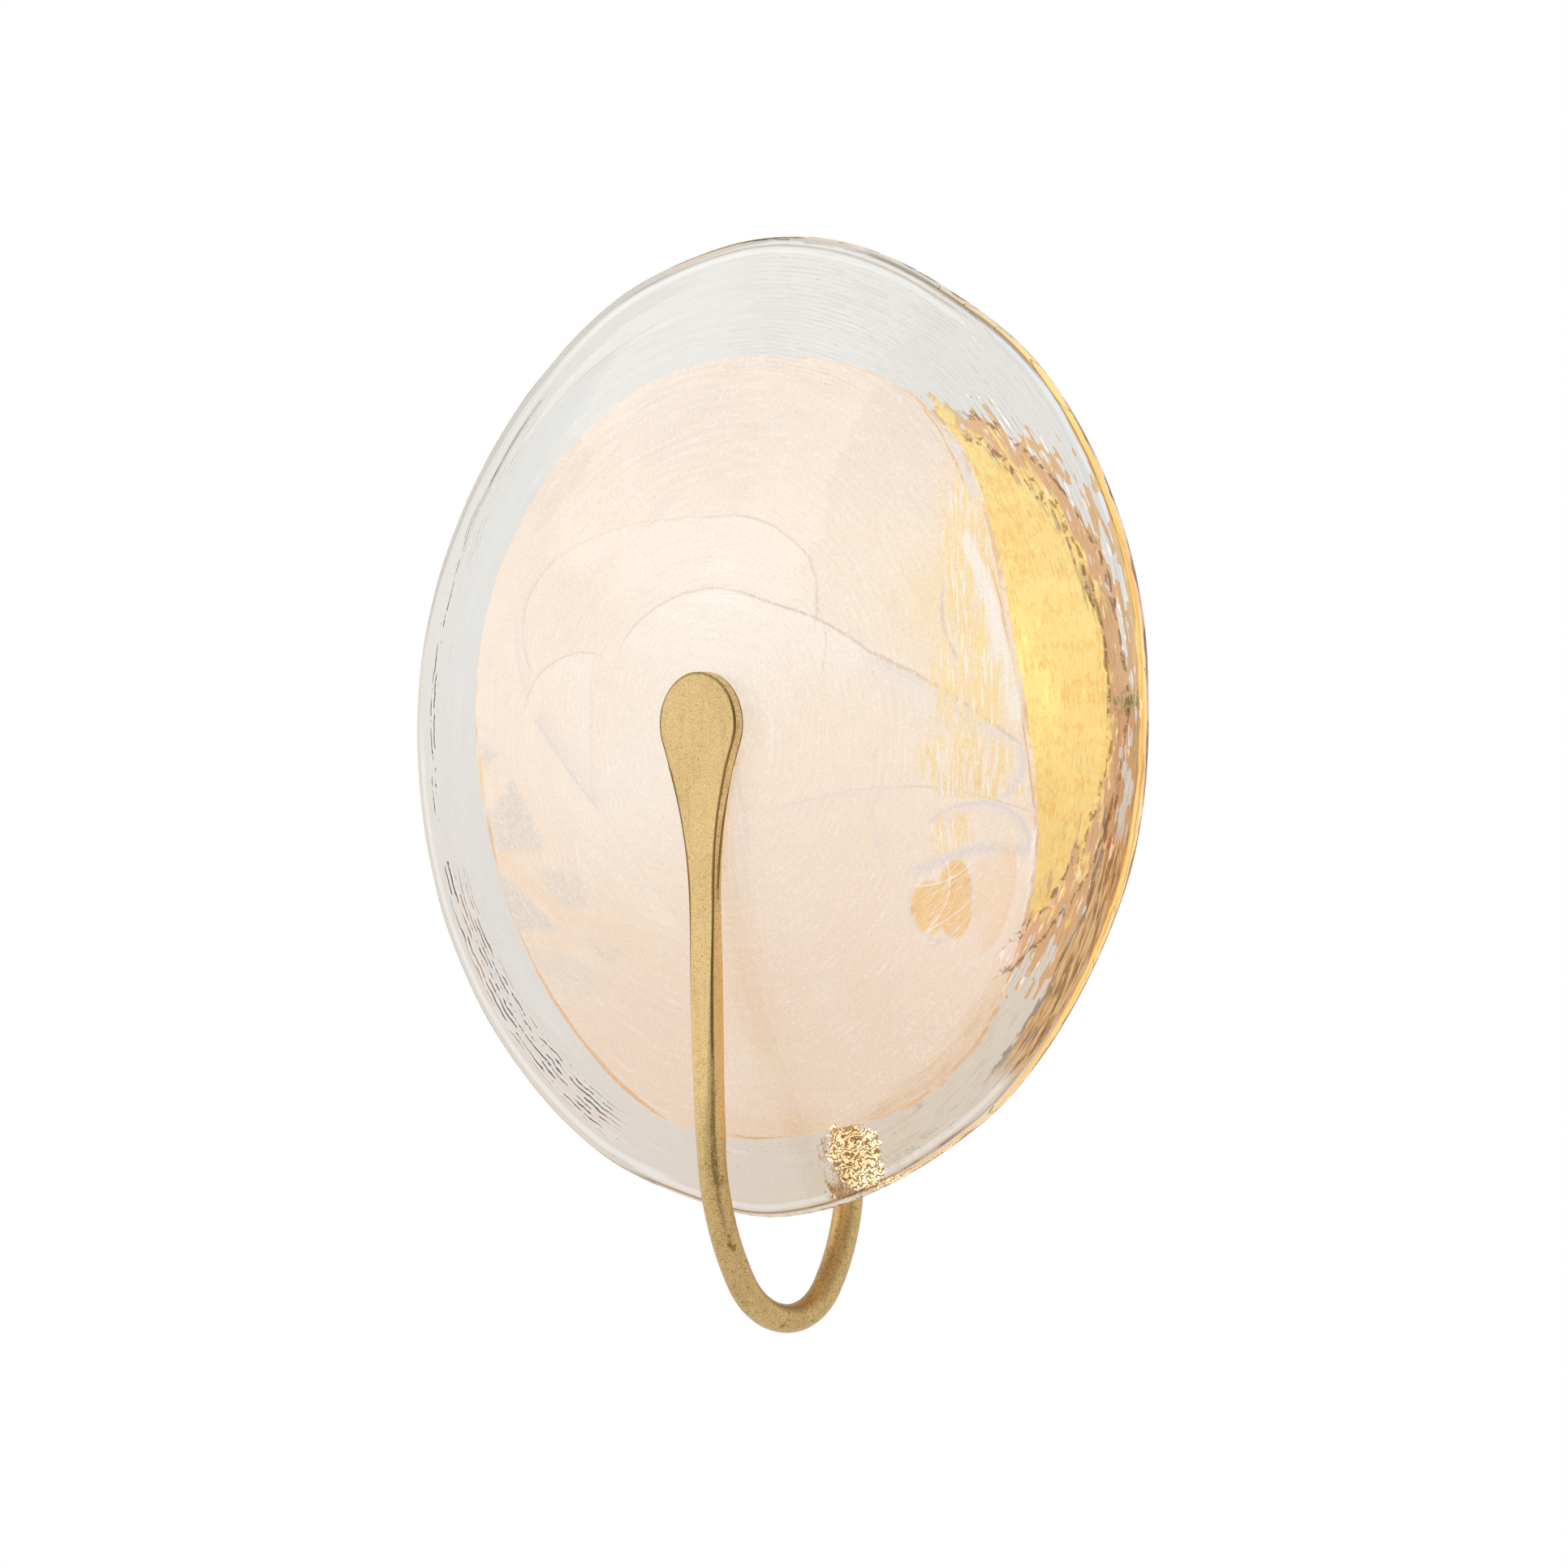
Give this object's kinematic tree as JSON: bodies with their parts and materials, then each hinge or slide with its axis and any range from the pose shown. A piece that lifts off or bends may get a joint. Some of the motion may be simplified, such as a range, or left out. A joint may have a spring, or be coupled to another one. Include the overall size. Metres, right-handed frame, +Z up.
{
  "type": "wall sconce",
  "caption": "Wall light: a domed glass disc with an opal layer, held at its centre by a brass arm that loops under it from a round wall pan, with capsule lamps behind.",
  "frame": {"origin": "centre of the wall bar's two slots, on the wall, which is the pan's centre", "axes": "+Z up, +Y into the wall, the front faces -Y, +X to the right seen from the front"},
  "size_m": [0.306, 0.102, 0.3409],
  "materials": {
    "arm_brass": "satin, aged",
    "pan_brass": "brushed, aged",
    "zinc": "zinc plated",
    "green_brass": "green passivated",
    "clear_glass": "hand spun, fine rings",
    "opal_glass": "opal veils",
    "silicone": "clear silicone",
    "nylon": "moulded",
    "grommet_rubber": "moulded",
    "ceramic": "unglazed",
    "contact_steel": "nickel plated",
    "lamp_glass": "frosted",
    "lead_cover": "silicone sleeve"
  },
  "bodies": {
    "fixture": {"arm": "arm_brass", "arm_collar": "pan_brass", "arm_washer": "zinc", "arm_nut": "zinc", "wall_pan": "pan_brass", "crossbar": "zinc", "earth_screw": "green_brass", "pan_side_screws": "pan_brass", "glass_shell": "clear_glass", "opal_layer": "opal_glass", "front_gasket": "silicone", "rear_gasket": "silicone", "clamp_washer": "pan_brass", "stud_sleeve": "nylon", "glass_stud": "pan_brass", "glass_nut": "pan_brass", "lamp_bracket": "zinc", "bracket_screws": "zinc", "bracket_nuts": "zinc", "holder_screws": "zinc", "wire_grommets": "grommet_rubber", "terminal_block": "nylon", "terminal_screws": "zinc", "lampholder_left": "ceramic", "lampholder_right": "ceramic", "contacts_left": "contact_steel", "contacts_right": "contact_steel", "leads_left": "lead_cover", "leads_right": "lead_cover"},
    "lamp_left": {"bulb_left": "lamp_glass", "bulb_pins_left": "contact_steel"},
    "lamp_right": {"bulb_right": "lamp_glass", "bulb_pins_right": "contact_steel"}
  },
  "joints": [
    {"name": "lamp_left_pull", "type": "slide", "parent": "fixture", "child": "lamp_left", "axis": [0, 0, 1], "range_m": [0, 0.02]},
    {"name": "lamp_right_pull", "type": "slide", "parent": "fixture", "child": "lamp_right", "axis": [0, 0, 1], "range_m": [0, 0.02]}
  ]
}
